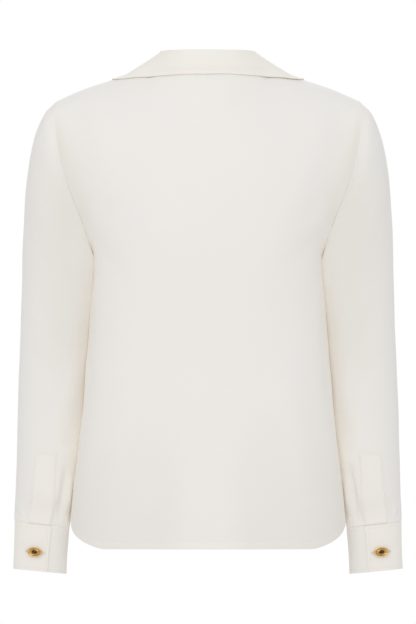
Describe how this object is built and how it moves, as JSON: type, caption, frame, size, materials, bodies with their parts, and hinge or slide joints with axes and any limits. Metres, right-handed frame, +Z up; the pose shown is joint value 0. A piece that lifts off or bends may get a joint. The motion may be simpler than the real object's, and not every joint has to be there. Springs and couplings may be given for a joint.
{
  "type": "long-sleeve collared blouse",
  "caption": "Hollow worn-form blouse with long set-in sleeves, button cuffs, a wide open collar, a short front placket and a round-cornered hem.",
  "frame": {"origin": "middle of the neck opening, just under the back neck seam, where the wearer's neck and shoulders hold it", "axes": "+Z up, -Y the wearer's front, +X the wearer's left"},
  "size_m": [0.5068, 0.2371, 0.6804],
  "materials": {
    "cloth": "ivory woven crepe, soft sheen",
    "button": "polished, gold-coloured"
  },
  "bodies": {
    "root": {"back": "cloth", "front": "cloth", "sleeve_left": "cloth", "sleeve_right": "cloth", "cuff_left": "cloth", "cuff_right": "cloth", "collar": "cloth", "front_placket": "cloth", "sleeve_placket_left": "cloth", "sleeve_placket_right": "cloth", "cuff_button_left": "button", "cuff_button_right": "button", "front_button_1": "button", "front_button_2": "button"}
  },
  "joints": []
}
